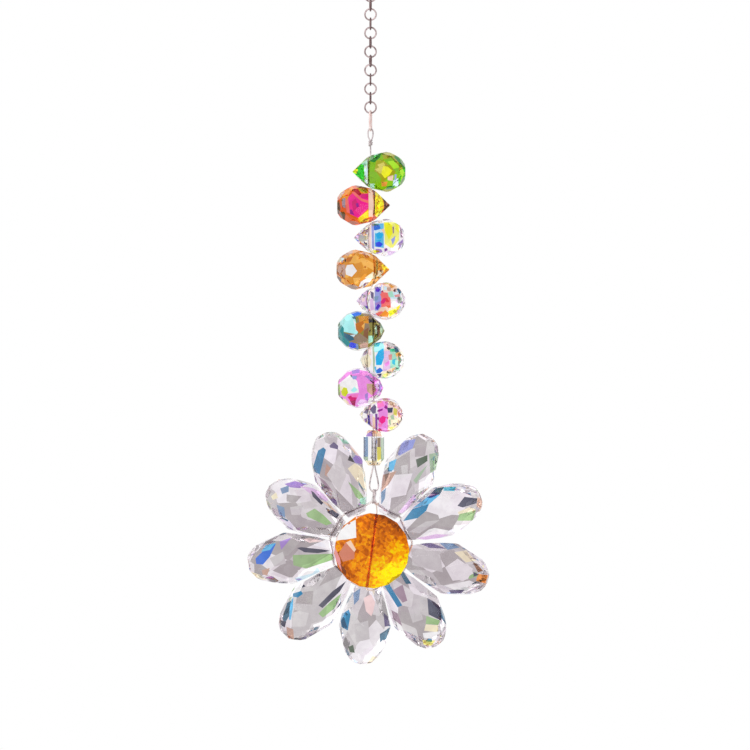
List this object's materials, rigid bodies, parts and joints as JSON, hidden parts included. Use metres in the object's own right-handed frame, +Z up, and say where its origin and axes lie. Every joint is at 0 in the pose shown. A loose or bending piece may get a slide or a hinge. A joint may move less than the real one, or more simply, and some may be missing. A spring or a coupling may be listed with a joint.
{
  "type": "crystal suncatcher",
  "caption": "Hanging crystal suncatcher: a ring and rolo chain carry faceted glass drops, a tube bead and a glass daisy with an amber centre bead.",
  "frame": {"origin": "inner top of the hanging ring, where a hook or nail bears", "axes": "+Z up, +X to the right seen from the front, +Y away from the viewer"},
  "size_m": [0.0805, 0.0262, 0.2421],
  "materials": {
    "antique_copper": "dark antique copper plate on brass, half gloss",
    "bright_copper": "pale bright copper",
    "silvery_wire": "greyish plated wire, bright",
    "glass_green": "cut and polished, lime green",
    "glass_ruby": "cut and polished, ruby with a metallic rainbow coat",
    "glass_champagne": "cut and polished, champagne",
    "glass_smoke": "cut and polished, smoke with a blue coat",
    "glass_lilac": "cut and polished, lilac",
    "glass_clear": "cut and polished, clear with a rainbow coat",
    "glass_tube": "cut and polished, clear with a rainbow coat",
    "glass_petal": "cut and polished, clear with a rainbow coat",
    "glass_amber": "cut and polished, amber"
  },
  "bodies": {
    "root": {"hanging_ring": "antique_copper", "chain_link_01": "antique_copper", "chain_link_02": "antique_copper", "chain_link_03": "antique_copper", "chain_link_04": "antique_copper", "chain_link_05": "antique_copper", "chain_link_06": "antique_copper", "chain_link_07": "antique_copper", "chain_link_08": "antique_copper", "chain_link_09": "antique_copper", "chain_link_10": "antique_copper", "chain_link_11": "antique_copper", "chain_link_12": "antique_copper", "chain_link_13": "antique_copper", "chain_link_14": "antique_copper", "connector_link": "bright_copper", "strand_wire": "silvery_wire", "drop_1_green": "glass_green", "drop_2_ruby": "glass_ruby", "drop_3_clear": "glass_clear", "drop_4_champagne": "glass_champagne", "drop_5_clear": "glass_clear", "drop_6_smoke": "glass_smoke", "drop_7_clear": "glass_clear", "drop_8_lilac": "glass_lilac", "drop_9_clear": "glass_clear", "tube_bead": "glass_tube", "flower_bail": "silvery_wire", "petal_ring": "bright_copper", "petal_1": "glass_petal", "petal_2": "glass_petal", "petal_3": "glass_petal", "petal_4": "glass_petal", "petal_5": "glass_petal", "petal_6": "glass_petal", "petal_7": "glass_petal", "petal_8": "glass_petal", "petal_9": "glass_petal", "amber_bead": "glass_amber", "amber_wire": "silvery_wire"}
  },
  "joints": []
}
